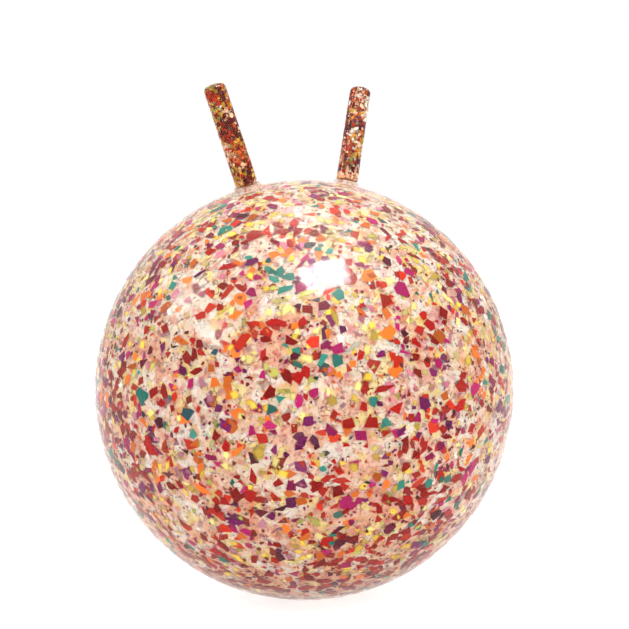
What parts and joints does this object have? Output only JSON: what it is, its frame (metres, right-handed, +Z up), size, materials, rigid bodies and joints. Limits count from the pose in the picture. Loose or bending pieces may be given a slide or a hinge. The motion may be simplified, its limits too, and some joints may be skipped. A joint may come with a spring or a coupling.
{
  "type": "hopper ball",
  "caption": "Clear inflated hopper ball with coloured chips in its wall, flexible stick handles that stand in moulded collars, and an air valve with a push-in plug.",
  "frame": {"origin": "middle of the flat patch that the ball rests on", "axes": "+Z up, X through both handles with the right handle at +X, and -Y the front, where the rider looks"},
  "size_m": [0.4498, 0.45, 0.5491],
  "materials": {
    "clear_skin": "glossy clear soft vinyl, full of small flat chips in red, orange, yellow, magenta, purple and teal",
    "handle_skin": "glossy clear soft vinyl, packed with the same chips, so darker and redder than the ball",
    "collar_ring": "glossy thick clear soft vinyl with few chips",
    "valve_sleeve": "cloudy clear soft vinyl",
    "valve_plug": "white moulded plastic, satin",
    "chips": "small flat chips of coloured vinyl, set in the clear wall"
  },
  "bodies": {
    "ball": {"ball_skin": "clear_skin", "left_handle_collar": "collar_ring", "right_handle_collar": "collar_ring", "valve_sleeve": "valve_sleeve"},
    "left_handle": {"left_handle": "handle_skin"},
    "right_handle": {"right_handle": "handle_skin"},
    "valve_plug": {"valve_plug": "valve_plug"}
  },
  "joints": [
    {"name": "left_handle_flex", "type": "hinge", "parent": "ball", "child": "left_handle", "pos_m": [-0.06579, 0, 0.44823], "axis": [0.9598, 0, 0.2807], "range_deg": [-15, 25], "stiffness_Nm_per_rad": 5},
    {"name": "right_handle_flex", "type": "hinge", "parent": "ball", "child": "right_handle", "pos_m": [0.06579, 0, 0.44823], "axis": [0.9598, 0, -0.2807], "range_deg": [-15, 25], "stiffness_Nm_per_rad": 5},
    {"name": "valve_plug_pull", "type": "slide", "parent": "ball", "child": "valve_plug", "axis": [0, 0.6157, 0.788], "range_m": [0, 0.024]}
  ]
}
